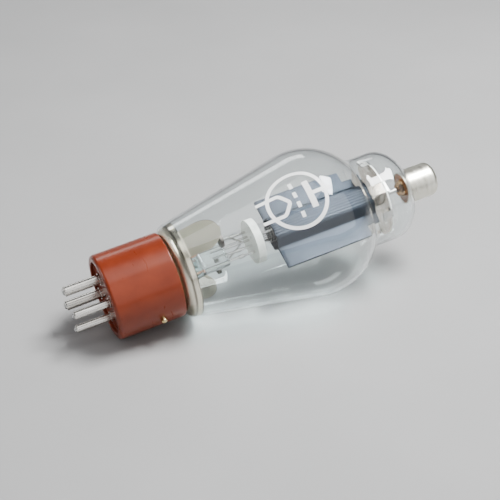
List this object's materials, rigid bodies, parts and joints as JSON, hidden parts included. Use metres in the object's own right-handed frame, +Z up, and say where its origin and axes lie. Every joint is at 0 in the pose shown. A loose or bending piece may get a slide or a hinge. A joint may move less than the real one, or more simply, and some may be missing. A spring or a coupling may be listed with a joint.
{
  "type": "vacuum tube",
  "caption": "Shouldered glass power triode with a getter mirror, finned anode, phenolic pin base with a bayonet pin, and a metal top cap.",
  "frame": {"origin": "centre of the base's rim, the plane that rests on the socket", "axes": "+X along the tube's axis from the pins to the cap; +Z up as the tube lies on its side"},
  "size_m": [0.1627, 0.0614, 0.0614],
  "materials": {
    "phenolic": "glossy moulded phenolic, brick red-brown",
    "pin_plate": "nickel-plated brass, satin",
    "solder": "tin solder, dull",
    "brass": "pale brass, polished",
    "cement": "basing cement, matt",
    "bulb_glass": "clear soda-lime glass",
    "stem_glass": "clear lead glass",
    "bead_glass": "brown sealing glass",
    "feed_wire": "copper-clad lead wire",
    "nickel": "bright nickel",
    "insulator": "white fired ceramic",
    "getter_steel": "fired getter pan",
    "getter_mirror": "barium getter film",
    "grid_wire": "molybdenum wire",
    "tungsten": "thoriated tungsten wire",
    "anode_metal": "grey coated sheet",
    "mica": "mica sheet",
    "cap_plate": "nickel-plated brass, satin"
  },
  "bodies": {
    "root": {"base_shell": "phenolic", "filament_pin_1": "pin_plate", "filament_pin_2": "pin_plate", "grid_pin": "pin_plate", "blank_pin": "pin_plate", "pin_solder": "solder", "bayonet_pin": "brass", "basing_cement": "cement", "bulb": "bulb_glass", "stem": "stem_glass", "exhaust_tube": "stem_glass", "filament_feed_1": "feed_wire", "filament_feed_2": "feed_wire", "grid_feed": "feed_wire", "filament_rod_1": "nickel", "filament_rod_2": "nickel", "grid_rod": "nickel", "support_rods": "nickel", "rod_sleeves": "nickel", "lower_insulator": "insulator", "getter_pans": "getter_steel", "getter_posts": "nickel", "getter_flash": "getter_mirror", "grid_side_rods": "nickel", "grid_winding": "grid_wire", "grid_strap": "nickel", "filament": "tungsten", "filament_tabs": "nickel", "filament_hooks": "grid_wire", "hook_bar": "insulator", "anode_front": "anode_metal", "anode_back": "anode_metal", "anode_strap": "nickel", "upper_insulator": "mica", "bulb_spacers": "nickel", "anode_lead": "nickel", "seal_bead": "bead_glass", "cap_cement": "cement", "top_cap": "cap_plate", "cap_solder": "solder"}
  },
  "joints": []
}
